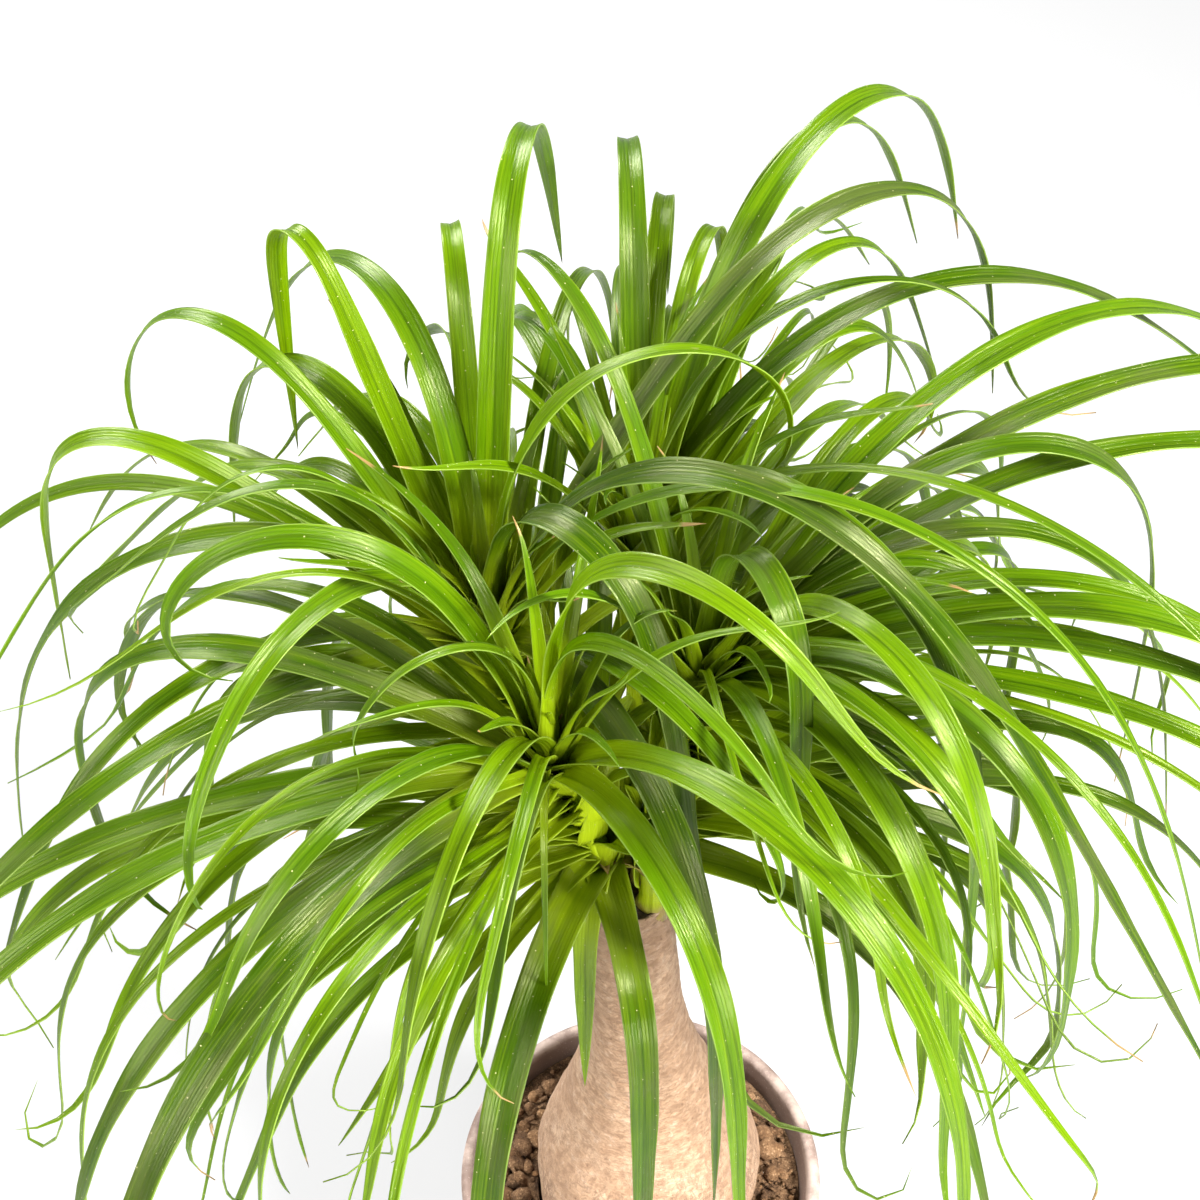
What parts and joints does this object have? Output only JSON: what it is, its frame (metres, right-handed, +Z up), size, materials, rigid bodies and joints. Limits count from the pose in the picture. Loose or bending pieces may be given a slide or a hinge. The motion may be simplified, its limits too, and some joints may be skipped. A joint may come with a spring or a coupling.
{
  "type": "potted ponytail palm",
  "caption": "Potted ponytail palm: round pot of soil, swollen trunk cut off at the top, and leafy shoots of long strap leaves that arch over and hang.",
  "frame": {"origin": "centre of the pot's flat underside, on the surface that the pot stands on", "axes": "+Z up through the pot and trunk, +X to the right and +Y away from the viewer as seen from the front"},
  "size_m": [0.7528, 0.5404, 0.7515],
  "materials": {
    "pot": "matt taupe, unglazed",
    "soil": "crumbly dark brown potting mix of bark and peat",
    "bark": "peach-tan bark with fine wrinkles and fissures",
    "leaf": "satin green, ribbed along, pale at the base"
  },
  "bodies": {
    "root": {"pot": "pot", "soil": "soil", "trunk": "bark", "shoot_front_left": "leaf", "shoot_back_left": "leaf", "shoot_back": "leaf", "shoot_right": "leaf"}
  },
  "joints": []
}
